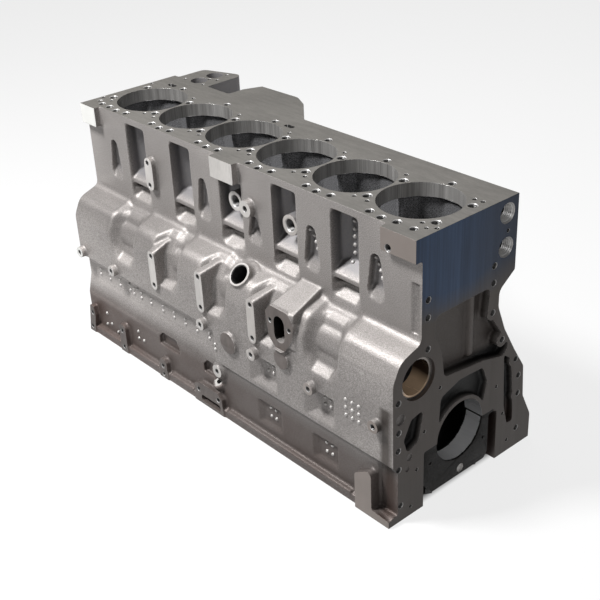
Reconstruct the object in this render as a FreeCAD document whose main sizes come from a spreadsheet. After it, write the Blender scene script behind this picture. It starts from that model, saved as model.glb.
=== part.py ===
"""Cylinder block of a heavy-duty inline-six diesel engine with wet liners, seven main bearing
caps and a camshaft tunnel in the side wall.

Millimetres. X runs along the crankshaft towards the front end face, -Y is the camshaft side
and +Z is up. The origin is on the crankshaft axis, halfway along the row of cylinders.
"""
import FreeCAD
import Part
import math
import os
import Sketcher

os.makedirs("parts", exist_ok=True)
doc = FreeCAD.newDocument("engine_block")
sheet = doc.addObject("Spreadsheet::Sheet", "sizes")

# Sizes that drive the part. Each becomes an alias in the sheet.
SIZES = {
    "cylinder_pitch": 135,
    "block_length": 850,
    "deck_height": 362,
    "rail_drop": 103,
    "liner_radius": 65.5,
    "jacket_radius": 70,
    "land_radius": 60,
    "deck_thickness": 23,
    "crank_bore_radius": 52.5,
    "bulkhead_width": 32,
    "cam_bush_radius": 28.5,
    "cam_bush_outer": 31.5,
    "cam_offset": 95,
    "cam_height": 138.5,
    "wall_offset": 90,
    "bulge_offset": 148,
    "far_offset": 114.5,
    "window_width": 58,
    "head_bolt_radius": 7,
    "flange_bolt_radius": 5,
    "cap_width": 164,
    "cap_depth": 88,
    "cap_bolt_offset": 52,
}


class Size:
    """A number from the sheet, kept with the formula that ties features to it."""

    def __init__(self, value, formula):
        self.value = float(value)
        self.formula = formula

    def __add__(self, other):
        return Size(self.value + number(other), f"({self.formula} + {formula(other)})")

    def __radd__(self, other):
        return self + other

    def __neg__(self):
        return Size(-self.value, f"(0 - {self.formula})")

    def __sub__(self, other):
        return Size(self.value - number(other), f"({self.formula} - {formula(other)})")

    def __rsub__(self, other):
        return Size(number(other) - self.value, f"({formula(other)} - {self.formula})")

    def __mul__(self, factor):
        return Size(self.value * factor, f"({self.formula} * {factor})")

    __rmul__ = __mul__


def number(size):
    return size.value if isinstance(size, Size) else float(size)


def formula(size):
    return size.formula if isinstance(size, Size) else repr(float(size))


for row, (alias, value) in enumerate(SIZES.items(), 1):
    sheet.set(f"A{row}", alias)
    sheet.set(f"B{row}", str(value))
    sheet.setAlias(f"B{row}", alias)
doc.recompute()
S = {alias: Size(value, f"sizes.{alias}") for alias, value in SIZES.items()}

PITCH = S["cylinder_pitch"]
FRONT = S["block_length"] * 0.5
REAR = -FRONT
DECK = S["deck_height"]
RAIL = -S["rail_drop"]
WALL = -S["wall_offset"]
BULGE = -S["bulge_offset"]
FAR = S["far_offset"]
CAM_Y = -S["cam_offset"]
CAM_Z = S["cam_height"]
BORES = [PITCH * (i - 2.5) for i in range(6)]
BEARINGS = [PITCH * (i - 3) for i in range(7)]
WINDOWS = [PITCH * (i - 2) for i in range(5)]
FLANGE_BOLTS = ((-77, 261), (-77, 232), (66, 261), (66, 232))
AXES = {"x": (1, 0, 0), "y": (0, 1, 0), "z": (0, 0, 1)}


def tie(item, prop, size):
    """Bind a property to the sheet where the size comes from it."""
    if isinstance(size, Size):
        item.setExpression(prop, size.formula)


def place(item, at, rotation=None):
    base = FreeCAD.Vector(*[number(v) for v in at])
    item.Placement = FreeCAD.Placement(base, rotation or FreeCAD.Rotation())
    for axis, value in zip("xyz", at):
        tie(item, f"Placement.Base.{axis}", value)
    return item


def box(label, low, high):
    item = doc.addObject("Part::Box", label)
    for prop, a, b in zip(("Length", "Width", "Height"), low, high):
        size = b - a
        setattr(item, prop, number(size))
        tie(item, prop, size)
    return place(item, low)


def rod(label, start, axis, radius, length):
    """A cylinder from a start point along x, y, z or any direction."""
    item = doc.addObject("Part::Cylinder", label)
    item.Radius = number(radius)
    item.Height = number(length)
    tie(item, "Radius", radius)
    tie(item, "Height", length)
    way = FreeCAD.Vector(*AXES.get(axis, axis))
    return place(item, start, FreeCAD.Rotation(FreeCAD.Vector(0, 0, 1), way))


def stud(label, start, axis, radius, length):
    """A small cast boss with twelve flats, where a round one would repeat too many faces."""
    item = doc.addObject("Part::Prism", label)
    item.Polygon = 12
    item.Circumradius = radius / math.cos(math.pi / 12)
    item.Height = length
    way = FreeCAD.Vector(*AXES.get(axis, axis))
    return place(item, start, FreeCAD.Rotation(FreeCAD.Vector(0, 0, 1), way))


def taper(label, y0, rect0, y1, rect1):
    """A solid between two upright rectangles (x0, x1, z0, z1), at y0 and further back at y1."""
    item = doc.addObject("Part::Wedge", label)
    item.Ymin = number(y0)
    item.Ymax = number(y1)
    item.Xmin, item.Xmax, item.Zmin, item.Zmax = rect0
    item.X2min, item.X2max, item.Z2min, item.Z2max = rect1
    return item


def join(label, items):
    if len(items) == 1:
        return items[0]
    item = doc.addObject("Part::MultiFuse", label)
    item.Shapes = items
    item.Refine = True
    return item


def cut(label, base, tool):
    item = doc.addObject("Part::Cut", label)
    item.Base = base
    item.Tool = tool
    item.Refine = True
    return item


def role_plane(body, plane):
    role = {"xy": "XY_Plane", "xz": "XZ_Plane", "yz": "YZ_Plane"}[plane]
    return next(f for f in body.Origin.OriginFeatures if f.Role == role)


def draw(sketch, outline):
    """Draw a closed outline of straight lines, with every corner held by its two distances."""
    points = [FreeCAD.Vector(number(u), number(v), 0) for u, v in outline]
    count = len(points)
    for i in range(count):
        line = Part.LineSegment(points[i], points[(i + 1) % count])
        sketch.addGeometry(line, False)
    for i in range(count):
        sketch.addConstraint(Sketcher.Constraint("Coincident", i, 2, (i + 1) % count, 1))
    for i, (u, v) in enumerate(outline):
        for kind, axis, value in (("DistanceX", -2, u), ("DistanceY", -1, v)):
            if abs(number(value)) < 1e-9:
                sketch.addConstraint(Sketcher.Constraint("PointOnObject", i, 1, axis))
                continue
            index = sketch.addConstraint(Sketcher.Constraint(kind, i, 1, number(value)))
            tie(sketch, f"Constraints[{index}]", value)


def prism(label, plane, outline, start, length, rounds=None):
    """A padded outline: yz runs towards +X, xz towards -Y and xy towards +Z.

    rounds gives the corners, by number, that are rounded to each radius.
    """
    body = doc.addObject("PartDesign::Body", label)
    sketch = body.newObject("Sketcher::SketchObject", label + "_outline")
    sketch.AttachmentSupport = (role_plane(body, plane), [""])
    sketch.MapMode = "FlatFace"
    offset = -start if plane == "xz" else start
    shift = FreeCAD.Vector(0, 0, number(offset))
    sketch.AttachmentOffset = FreeCAD.Placement(shift, FreeCAD.Rotation())
    tie(sketch, "AttachmentOffset.Base.z", offset)
    draw(sketch, outline)
    pad = body.newObject("PartDesign::Pad", label + "_pad")
    pad.Profile = sketch
    pad.Length = number(length)
    tie(pad, "Length", length)
    body.Tip = pad
    last = pad
    for radius, wanted in (rounds or {}).items():
        doc.recompute()
        spots = [tuple(number(v) for v in outline[i]) for i in wanted]
        names = along_edges(last.Shape, plane, spots)
        rounded = body.newObject("PartDesign::Fillet", f"{label}_round_{len(body.Group)}")
        rounded.Base = (last, names)
        rounded.Radius = radius
        body.Tip = rounded
        last = rounded
    return body


def along_edges(shape, plane, spots):
    """Names of the edges that run along the pad through the given outline corners."""
    pick = {"xy": (0, 1), "xz": (0, 2), "yz": (1, 2)}[plane]
    names = []
    for i, edge in enumerate(shape.Edges, 1):
        if len(edge.Vertexes) != 2:
            continue
        a, b = [tuple(v.Point) for v in edge.Vertexes]
        for spot in spots:
            if all(abs(p[k] - s) < 1e-4 for p in (a, b) for k, s in zip(pick, spot)):
                names.append(f"Edge{i}")
    return names


def half_round(x, z, radius, start, flats=5):
    """Corners of a cast half round in flats, turning left from its start angle."""
    turns = [start + math.pi * k / flats for k in range(flats + 1)]
    return [(x + radius * math.cos(t), z + radius * math.sin(t)) for t in turns]


def capsule(width, x0, z0, x1, z1):
    """Outline of a cast slot or pad with half rounds about its two centres."""
    turn = math.atan2(z1 - z0, x1 - x0)
    first = half_round(x0, z0, width / 2, turn + math.pi / 2)
    return first + half_round(x1, z1, width / 2, turn - math.pi / 2)


def casting_shell():
    """The outer casting: one long section with the camshaft bulge, deck pads and extensions."""
    section = [
        (WALL, DECK),
        (WALL, 196),
        (-133, 181),
        (BULGE, 150),
        (BULGE, 3),
        (-143, 3),
        (-143, -86),
        (-152, -90),
        (-152, RAIL),
        (177, RAIL),
        (177, -56),
        (155, -10),
        (151, 50),
        (125, 92),
        (98, 140),
        (80, 186),
        (80, 214),
        (FAR, 238),
        (FAR, DECK),
    ]
    rounds = {12: [1, 10], 28: [2, 3, 13], 16: [15, 16]}
    shell = [prism("casting_section", "yz", section, REAR, FRONT - REAR, rounds)]
    for i, (x0, x1) in enumerate(((REAR, REAR + 48), (FRONT - 68, FRONT)), 1):
        shell.append(box(f"deck_pad_{i}", (x0, -103, DECK - 36), (x1, WALL + 1, DECK)))
    tip = REAR + 13
    cooler = [(tip, 110), (tip, 176), (tip + 90, 206), (tip + 93, 110)]
    shell.append(prism("cooler_head", "xy", cooler, DECK - 66, 66, {14: [1, 2]}))
    tail = [(-254, 110), (-254, 150), (-240, 184), (-140, 186), (-104, 168), (-38, 110)]
    shell.append(prism("cooler_tail", "xy", tail, DECK - 74, 74, {20: [3, 4]}))
    return shell


def side_bosses():
    """Pads, webs, bosses and ports that stand out of the camshaft side."""
    out = [box("deck_pad_3", (-32, -103, DECK - 36), (27, -64, DECK))]
    half = S["window_width"] * 0.5
    for i, x in enumerate(WINDOWS, 1):
        for side in (-1, 1):
            corner = [(11, 352), (11, 339), (6, 347), (-2, 350), (-2, 352)]
            outline = [(x + side * (half + u - 9), z) for u, z in corner]
            out.append(prism(f"window_corner_{i}_{side + 2}", "xz", outline, -58, 31))
    # two-hole pads, each on a web that leans and thins out up its valley
    pads = ((-163.5, 95, 152, 12), (-24.5, 103.5, 162, 20), (113.5, 100.5, 162, 20))
    web_top = 197
    for i, (x, low, high, lean) in enumerate(pads, 1):
        out.append(prism(f"web_pad_{i}", "xz", capsule(20, x, low, x, high), -118, 35))
        near = (x - 9, x + 9, low - 2, high + 9)
        far = (x + lean - 4, x + lean + 6, low + 40, web_top)
        out.append(taper(f"web_{i}", -152, near, -74, far))
    rings = ((REAR + 14, 77), (-300.5, 75), (-23.5, 72), (113.5, 71), (252.5, 70), (FRONT - 31.5, 70))
    for i, (x, z) in enumerate(rings, 1):
        out.append(stud(f"ring_boss_{i}", (x, -138, z), (0, -1, 0), 10.5, 21))
    out.append(stud("blank_boss_1", (45.5, -140, 62), (0, -1, 0), 20, 15))
    out.append(stud("blank_boss_2", (184.5, -140, 91), (0, -1, 0), 17, 15))
    out.append(stud("sloping_boss", (-3.5, -128, -62), (0, -0.6, 0.8), 13, 27))
    out.append(prism("upper_pad", "xz", capsule(23, -221, 255, -221, 295), -80, 20))
    out.append(stud("upper_boss", (52.5, -80, 293), (0, -1, 0), 14, 22))
    for i, x in enumerate((5.5, 141.5), 1):
        out.append(stud(f"window_port_{i}", (x, -62, 287), (0, -1, 0), 17, 22))
    out.append(stud("oblique_port", (60, -94, 155), (0, -0.72, 0.694), 19, 50))
    shield = [
        (152, 168),
        (164, 182),
        (204, 182),
        (219, 164),
        (214, 140),
        (194, 108),
        (176, 106),
        (158, 124),
    ]
    out.append(prism("slot_port_flange", "xz", shield, -120, 33, {9: [5, 6]}))
    out.append(taper("slot_port_web", -151, (162, 216, 118, 181), -92, (172, 218, 140, 208)))
    foot = FRONT - 73
    column = [
        (foot, -36),
        (foot + 36, -14),
        (foot + 36, -88),
        (FRONT, -92),
        (FRONT, RAIL),
        (foot, RAIL),
    ]
    out.append(prism("foot_column", "xz", column, -120, 38, {8: [0, 1]}))
    feet = (
        [
            (REAR + 1, RAIL),
            (REAR + 13, -42),
            (REAR + 25, -42),
            (REAR + 29, -60),
            (REAR + 19, RAIL),
        ],
        [(-309, RAIL), (-309, -48), (-303, -42), (-293, -42), (-287, -48), (-287, RAIL)],
        [(-178, RAIL), (-176, -68), (-170, -62), (-160, -62), (-154, -68), (-152, RAIL)],
        [(-68, RAIL), (-66, -68), (-50, -60), (2, -60), (13, -70), (16, RAIL)],
    )
    for i, foot in enumerate(feet, 1):
        out.append(prism(f"foot_pad_{i}", "xz", foot, -120, 34))
    return out


def ring_of_flats(x, radius, count):
    """Corners of the cast water jacket core, whose flats lie at the radius from the bore axis."""
    reach = 1 / math.cos(math.pi / count)
    turns = [2 * math.pi * (k + 0.5) / count for k in range(count)]
    return [(x + radius * (reach * math.cos(t)), radius * (reach * math.sin(t))) for t in turns]


def cylinder_tools():
    """Wet-liner bores: the upper seat, the open water jacket and the lower land."""
    out = []
    seat = DECK - S["deck_thickness"]
    for i, x in enumerate(BORES, 1):
        out.append(rod(f"liner_seat_{i}", (x, 0, seat - 1), "z", S["liner_radius"], DECK - seat + 2))
        out.append(prism(f"jacket_{i}", "xy", ring_of_flats(x, S["jacket_radius"], 12), 250, seat - 250))
        out.append(rod(f"lower_land_{i}", (x, 0, 90), "z", S["land_radius"], 161))
    return out


def crankcase_tools():
    """The six crank bays between seven bulkheads, the main bore and the camshaft tunnel."""
    out = []
    bay = PITCH - S["bulkhead_width"]
    section = [
        (-132, RAIL - 1),
        (138, RAIL - 1),
        (138, 16),
        (108, 84),
        (62, 112),
        (-58, 112),
        (-104, 76),
        (-132, 10),
    ]
    for i, x in enumerate(BORES, 1):
        out.append(prism(f"crank_bay_{i}", "yz", section, x - bay * 0.5, bay))
    first = BEARINGS[0] + S["bulkhead_width"] * 0.5 - 1
    last = BEARINGS[-1] - S["bulkhead_width"] * 0.5 + 1
    out.append(box("under_bulkheads", (first, -132, RAIL - 1), (last, 138, -22)))
    half = S["cap_width"] * 0.5
    out.append(box("cap_register", (REAR - 1, -half, RAIL - 1), (FRONT + 1, half, 0)))
    length = FRONT - REAR + 2
    out.append(rod("main_bore", (REAR - 1, 0, 0), "x", S["crank_bore_radius"], length))
    out.append(rod("cam_seat", (FRONT - 38, CAM_Y, CAM_Z), "x", S["cam_bush_outer"], 39))
    out.append(rod("cam_counterbore", (FRONT - 6, CAM_Y, CAM_Z), "x", 34.5, 7))
    return out


def valley(label, x):
    """A valley down the bulge, round the camshaft tunnel, that runs out on both sides.

    The outline at its ends is the deep one shrunk about a point of its mouth, so that every
    face of the loft between them is flat.
    """
    mouth = -175
    level = 171
    shrink = 0.62
    deep = [
        (mouth, 232),
        (-71, 232),
        (-71, 216),
        (-92, 201),
        (-113, 182),
        (-128, 156),
        (-132, 128),
        (-134, 108),
        (-153, 92),
        (mouth, 92),
    ]
    runout = [(mouth + shrink * (y - mouth), level + shrink * (z - level)) for y, z in deep]
    half = S["window_width"] * 0.5
    stations = ((-half - 12, runout), (-half + 7, deep), (half - 9, deep), (half + 13, runout))
    sections = []
    for i, (offset, outline) in enumerate(stations, 1):
        sketch = doc.addObject("Sketcher::SketchObject", f"{label}_section_{i}")
        place(sketch, (x + offset, 0, 0), FreeCAD.Rotation(FreeCAD.Vector(1, 1, 1), 120))
        draw(sketch, outline)
        sections.append(sketch)
    item = doc.addObject("Part::Loft", label)
    item.Sections = sections
    item.Solid = True
    item.Ruled = True
    return item


def window_tools():
    """Windows between the columns, each with a sloping shelf over a valley down the bulge."""
    half = S["window_width"] * 0.5
    out = []
    for i, x in enumerate(WINDOWS, 1):
        outline = [
            (x - half, -160),
            (x + half, -160),
            (x + half, -68),
            (x + half * 0.5, -59),
            (x - half * 0.5, -59),
            (x - half, -68),
        ]
        opening = prism(f"window_{i}", "xy", outline, 224, 126)
        shelf = [(-50, 268), (-86, 243), (-86, 235), (-70, 229), (-50, 226)]
        sill = prism(f"shelf_{i}", "yz", shelf, x - half - 1, half * 2 + 2)
        out.append(cut(f"window_over_shelf_{i}", opening, sill))
        out.append(valley(f"valley_{i}", x))
    return out


def pocket_tools():
    """Tall oval pockets in the columns, with a ramp for a floor."""
    out = []
    pockets = (
        (-344.5, 243, 296),
        (-76, 243, 296),
        (59, 241, 268),
        (196.5, 243, 296),
        (334, 243, 296),
    )
    for i, (x, low, high) in enumerate(pockets, 1):
        outline = half_round(x, low, 17, math.pi) + half_round(x, high, 10, 0)
        oval = prism(f"pocket_{i}", "xz", outline, -77, 40)
        ramp = [(-70, 264), (-91, 226), (-91, 200), (-70, 200)]
        floor = prism(f"pocket_ramp_{i}", "yz", ramp, x - 20, 40)
        out.append(cut(f"pocket_over_ramp_{i}", oval, floor))
    return out


def lower_side_tools():
    """Recesses, ports and grooves in the plate and the lower panel of the camshaft side."""
    out = []
    for i, (x0, x1) in enumerate(((92, 163), (230, 299)), 1):
        for j, (top, low) in enumerate(((66, 4), (-26, -84)), 1):
            floor = [(-136, top), (-136, low + 22), (-153, low), (-170, low), (-170, top)]
            tool = prism(f"scoop_{i}_{j}", "yz", floor, x0, x1 - x0)
            side = [(x0 - 1, -130), (x0 - 1, -149), (x0 + 34, -130)]
            flank = prism(f"scoop_flank_{i}_{j}", "xy", side, low - 1, top - low + 2)
            out.append(cut(f"scoop_over_flank_{i}_{j}", tool, flank))
    band = [(-170, 65), (-139, 65), (-133, 52), (-133, 18), (-143.5, -22), (-170, -22)]
    out.append(prism("rear_band", "yz", band, REAR - 1, 424, {14: [2, 3]}))
    for i, (x0, x1) in enumerate(((-184, -122), (-48, -12)), 1):
        arch = [(x0, -40), (x1, -40), (x1, -24), (x1 - 9, -15), (x0 + 9, -15), (x0, -24)]
        out.append(prism(f"panel_notch_{i}", "xz", arch, -134, 26))
    out.append(rod("flange_valley", (FRONT - 12, -97, 206), "z", 11, 82))
    return out


def port_tools():
    """What is bored once the bosses stand: the camshaft tunnel, two ports and the foot recess."""
    length = FRONT - REAR + 2
    return [
        rod("cam_tunnel", (REAR - 1, CAM_Y, CAM_Z), "x", S["cam_bush_radius"], length),
        box("column_recess", (FRONT - 37, -165, -88), (FRONT + 1, -138, -2)),
        box("foot_recess", (-47.5, -165, -97), (7.5, -145, -84)),
        rod("oblique_bore", (60, -95.4, 156.4), (0, -0.72, 0.694), 14, 50),
        prism("slot_port", "xz", capsule(25, 184.5, 134, 184.5, 158), -100, 54),
    ]


def front_face_tools():
    """Pockets, ports and bolt holes of the front end face."""
    out = []
    upper = [
        (-60, 228),
        (60, 228),
        (56, 190),
        (72, 164),
        (112, 104),
        (96, 92),
        (52, 104),
        (-40, 116),
        (-46, 160),
        (-62, 196),
    ]
    rounds = {10: [0, 1, 4, 5, 6, 7]}
    pocket = prism("timing_pocket", "yz", upper, FRONT - 17, 20, rounds)
    kept = [
        rod("timing_rib", (FRONT - 18, 31, 118), "z", 9, 112),
        stud("timing_boss_1", (FRONT - 20, 67, 181), "x", 12, 20),
        stud("timing_boss_2", (FRONT - 20, 93, 123), "x", 12, 20),
        rod("cam_boss", (FRONT - 20, CAM_Y, CAM_Z), "x", 47, 20),
    ]
    out.append(cut("timing_pocket_open", pocket, join("timing_pocket_kept", kept)))
    crown = [(-50, 30), (-46, 82), (-4, 95), (50, 92), (62, 60), (52, 20)]
    crescent = prism("crown_pocket", "yz", crown, FRONT - 12, 15, {10: [1, 2, 3]})
    ring = rod("crown_ring", (FRONT - 14, 0, 0), "x", 59, 20)
    out.append(cut("crown_pocket_open", crescent, ring))
    kidney = [(-126, 44), (-110, 74), (-82, 80), (-94, 28), (-118, 18)]
    out.append(prism("kidney_pocket", "yz", kidney, FRONT - 14, 16, {7: [0, 1, 2, 3, 4]}))
    flank = [(100, 92), (118, 78), (124, 40), (128, -2), (130, -46), (116, -46), (106, -8)]
    flank_pocket = prism("flank_pocket", "yz", flank, FRONT - 13, 16)
    spots = ((131, 71), (140, 36), (141, 1))
    bosses = []
    for i, (y, z) in enumerate(spots, 1):
        bosses.append(stud(f"flank_boss_{i}", (FRONT - 15, y - 6, z), "x", 10, 16))
    out.append(cut("flank_pocket_open", flank_pocket, join("flank_bosses", bosses)))
    out.append(box("cap_side_slot", (FRONT - 20, 70, RAIL - 1), (FRONT + 1, 89, -6)))
    for i, (y, z) in enumerate(FLANGE_BOLTS, 1):
        out.append(rod(f"flange_bolt_{i}", (FRONT - 22, y, z), "x", S["flange_bolt_radius"], 23))
    for i, z in enumerate((338, 283), 1):
        out.append(rod(f"front_port_{i}", (FRONT - 18, 90, z), "x", 14.5, 19))
    return out


def deck_tools():
    """Head bolt holes around each bore, the coolant slots and the two ports of the cooler head."""
    out = []
    spots = []
    for x in BEARINGS:
        spots += [(x, -41.5), (x, 35)]
    for i, (x, y) in enumerate(spots, 1):
        out.append(rod(f"head_bolt_{i}", (x, y, DECK - 21), "z", S["head_bolt_radius"], 22))
    for i, (x, y) in enumerate(((-364.5, 167), (-362.5, 127)), 1):
        out.append(rod(f"cooler_port_{i}", (x, y, DECK - 50), "z", 16.5, 51))
    for i, (x, y) in enumerate(((-377.5, 74), (-36, 75)), 1):
        slot = capsule(10, x - 6, y, x + 6, y)
        out.append(prism(f"coolant_slot_{i}", "xy", slot, DECK - 16, 17))
    return out


def build_block():
    """The cast form first, then what stands out of it, then its ports."""
    shell = join("casting_solid", casting_shell())
    tools = cylinder_tools() + crankcase_tools() + window_tools() + pocket_tools()
    tools += lower_side_tools() + front_face_tools() + deck_tools()
    casting = cut("casting_cut", shell, join("casting_tools", tools))
    bossed = join("casting_with_bosses", [casting] + side_bosses())
    return cut("cylinder_block", bossed, join("port_tools", port_tools()))


def build_caps():
    """Seven bearing caps, each a half bore in a shouldered block."""
    out = []
    half = S["cap_width"] * 0.5
    low = -S["cap_depth"]
    for i, x in enumerate(BEARINGS, 1):
        if i == 1:
            start, end = REAR, x + S["bulkhead_width"] * 0.5
        elif i == 7:
            start, end = x - S["bulkhead_width"] * 0.5, FRONT
        else:
            start, end = x - S["bulkhead_width"] * 0.5, x + S["bulkhead_width"] * 0.5
        outline = [(-half, 0), (-half, -62), (-62, low), (62, low), (half, -62), (half, 0)]
        body = prism(f"cap_body_{i}", "yz", outline, start, end - start)
        bore = rod(f"cap_bore_{i}", (start - 1, 0, 0), "x", S["crank_bore_radius"], end - start + 2)
        tools = [bore]
        if i == 7:
            tools.append(box("cap_slot", (FRONT - 20, 70, low - 1), (FRONT + 1, 89, -6)))
        out.append(cut(f"main_bearing_cap_{i}", body, join(f"cap_tools_{i}", tools)))
    return out


def build_bush():
    """Bronze bush of the front camshaft journal."""
    outer = rod("bush_outer", (FRONT - 38, CAM_Y, CAM_Z), "x", S["cam_bush_outer"], 32)
    inner = rod("bush_inner", (FRONT - 39, CAM_Y, CAM_Z), "x", S["cam_bush_radius"], 34)
    return cut("front_cam_bush", outer, inner)


def build_cap_bolts():
    """Flanged hexagon heads of the fourteen cap bolts, seated under the caps."""
    heads = []
    low = -S["cap_depth"]
    for i, x in enumerate(BEARINGS, 1):
        for side in (-1, 1):
            y = S["cap_bolt_offset"] * side
            turns = [math.pi * k / 3 for k in range(6)]
            corners = [(x + 11 * math.cos(t), y + 11 * math.sin(t)) for t in turns]
            heads.append(prism(f"cap_bolt_{i}_{side + 2}", "xy", corners, low - 12, 12))
    bolts = doc.addObject("Part::Compound", "main_cap_bolts")
    bolts.Links = heads
    return bolts


NODES = [build_block(), *build_caps(), build_bush(), build_cap_bolts()]
doc.recompute()
for item in doc.Objects:
    bad = [s for s in item.State if s in ("Invalid", "Error")]
    if bad:
        raise RuntimeError(f"{item.Label} is {bad}")
for node in NODES:
    shape = node.Shape
    if shape.isNull() or not shape.isValid():
        raise RuntimeError(f"{node.Label} has no valid shape")
    shape.exportStep(f"parts/{node.Label}.step")
    print(node.Label, len(shape.Solids), "solids", round(shape.Volume / 1000), "cm3")
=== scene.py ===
# %% [markdown]
# # Cylinder block of an inline-six diesel engine
# The real block is one iron casting. Its outside keeps the grain of the sand mould, and only the
# faces that meet other parts are milled: the deck, the ends, the pads, the bores and the bosses.
# The CAD model already has the casting's form, so a copy of it goes through a small foundry and
# machine shop: its cast edges are rounded, its faces milled and drilled, its raised pips set.

import math
import time

import bmesh
import bpy
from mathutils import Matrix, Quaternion, Vector
from mathutils.bvhtree import BVHTree


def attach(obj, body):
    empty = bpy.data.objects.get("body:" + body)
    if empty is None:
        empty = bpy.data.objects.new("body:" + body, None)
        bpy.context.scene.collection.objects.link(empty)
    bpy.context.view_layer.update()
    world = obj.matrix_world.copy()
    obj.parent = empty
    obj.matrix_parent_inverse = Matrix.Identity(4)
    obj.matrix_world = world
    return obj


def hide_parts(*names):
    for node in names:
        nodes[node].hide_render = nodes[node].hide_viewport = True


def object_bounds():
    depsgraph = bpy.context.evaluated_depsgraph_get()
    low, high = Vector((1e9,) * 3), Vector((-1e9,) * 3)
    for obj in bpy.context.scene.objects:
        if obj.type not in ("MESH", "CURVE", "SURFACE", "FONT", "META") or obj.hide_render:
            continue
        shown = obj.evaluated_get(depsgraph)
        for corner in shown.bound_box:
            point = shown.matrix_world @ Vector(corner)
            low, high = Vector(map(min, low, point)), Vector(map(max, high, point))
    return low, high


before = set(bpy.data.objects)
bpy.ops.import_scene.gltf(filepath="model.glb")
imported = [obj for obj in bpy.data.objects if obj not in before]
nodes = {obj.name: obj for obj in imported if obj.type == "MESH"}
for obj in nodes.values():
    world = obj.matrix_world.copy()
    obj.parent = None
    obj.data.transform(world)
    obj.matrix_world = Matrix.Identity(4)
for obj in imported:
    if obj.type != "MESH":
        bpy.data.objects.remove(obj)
cad_low, cad_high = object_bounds()
MM = 0.001
print("CAD box in mm:", [round(v / MM) for v in cad_high - cad_low])

# %% [markdown]
# ## Sizes of the block
# Places are in mm: X runs along the crankshaft to the front end, Y to the far side and Z up to
# the deck. The deck, the rail and the front end come from the frame's own box. The cylinders
# stand at one pitch, and the bores have their machined sizes.

# %% Name the driving sizes
DECK, RAIL = round(cad_high.z / MM), round(cad_low.z / MM)
FRONT = round(cad_high.x / MM)
PITCH = 135
BORES = [PITCH * (i - 2.5) for i in range(6)]
BETWEEN = [PITCH * (i - 3) for i in range(7)]
SEAT_RADIUS, SEAT_Z = 65.5, 339
LAND_RADIUS, LAND_LOW, LAND_HIGH = 60, 88, 252
MAIN_RADIUS = 52.5
CAM_Y, CAM_Z, CAM_RADIUS = -95, 138.5, 28.5
BUSH_SEAT_RADIUS, BUSH_SEAT_X = 31.5, 387
BUSH_STEP_RADIUS, BUSH_STEP_X = 34.5, 419
UP, FORWARD, OUT = (0, 0, 1), (1, 0, 0), (0, -1, 0)
print("deck at", DECK, "rail at", RAIL, "front end at", FRONT)

# %% [markdown]
# ## Camera
# The photograph looks down on the camshaft side and the front end from a little above. The
# camera stands where lines fitted to the block's edges meet, and it leans by a few degrees.

# %% Place the camera
EYE = Vector((1.31184, -1.06125, 1.00038))
AZIMUTH, ELEVATION, LEAN = (math.radians(a) for a in (49.77, 29.04, -2.85))
LENS, SENSOR = 64.94, 36
level = math.cos(ELEVATION)
back = Vector((math.sin(AZIMUTH) * level, -math.cos(AZIMUTH) * level, math.sin(ELEVATION)))
camera = bpy.data.objects.new("camera", bpy.data.cameras.new("camera"))
camera.data.lens = LENS
camera.data.sensor_width = SENSOR
camera.rotation_mode = "QUATERNION"
camera.rotation_quaternion = (-back).to_track_quat("-Z", "Y") @ Quaternion((0, 0, 1), LEAN)
camera.location = EYE
bpy.context.collection.objects.link(camera)
bpy.context.scene.camera = camera
bpy.context.scene.view_settings.view_transform = "Standard"
print("camera at", [round(v, 3) for v in EYE])

# %% [markdown]
# ## Patterns shared by the finishes
# Cast iron keeps the print of the sand grains, in fine bumps with a few larger pits. Milled iron
# has fine lines instead. Both patterns are node groups, so each material can use them with its
# own sizes. They give out masks and heights, and the shaders stay in the materials.


# %% Helpers for node trees
def add(tree, kind, values=None, **settings):
    """A node with its settings, and its input sockets set to values or linked to other sockets."""
    node = tree.nodes.new(kind)
    for key, value in settings.items():
        setattr(node, key, value)
    for key, value in (values or {}).items():
        if isinstance(value, bpy.types.NodeSocket):
            tree.links.new(value, node.inputs[key])
        else:
            node.inputs[key].default_value = value
    return node


def math_node(tree, operation, a, b=0.0):
    return add(tree, "ShaderNodeMath", {0: a, 1: b}, operation=operation).outputs[0]


def product(tree, first, *others):
    """Masks or values multiplied with each other."""
    for other in others:
        first = math_node(tree, "MULTIPLY", first, other)
    return first


def remap(tree, value, low, high, to_low=0.0, to_high=1.0):
    values = {"Value": value, 1: low, 2: high, 3: to_low, 4: to_high}
    return add(tree, "ShaderNodeMapRange", values, clamp=True).outputs[0]


def fade(tree, value, start, end, to_low=0.0, to_high=1.0):
    """A mask that changes between two places in mm."""
    return remap(tree, value, start * MM, end * MM, to_low, to_high)


def split(tree, place):
    return add(tree, "ShaderNodeSeparateXYZ", {0: place}).outputs


def noise(tree, vector, scale, detail=2.0, roughness=0.5):
    values = {"Vector": vector, "Scale": scale, "Detail": detail, "Roughness": roughness}
    return add(tree, "ShaderNodeTexNoise", values).outputs["Fac"]


def mix_colour(tree, amount, a, b, blend="MIX"):
    """Two colours mixed by an amount, each a socket or its red, green and blue."""
    node = add(tree, "ShaderNodeMix", data_type="RGBA", blend_type=blend)
    for socket, value in ((node.inputs[0], amount), (node.inputs[6], a), (node.inputs[7], b)):
        if isinstance(value, bpy.types.NodeSocket):
            tree.links.new(value, socket)
        else:
            socket.default_value = (*value, 1) if isinstance(value, tuple) else value
    return node.outputs[2]


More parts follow.
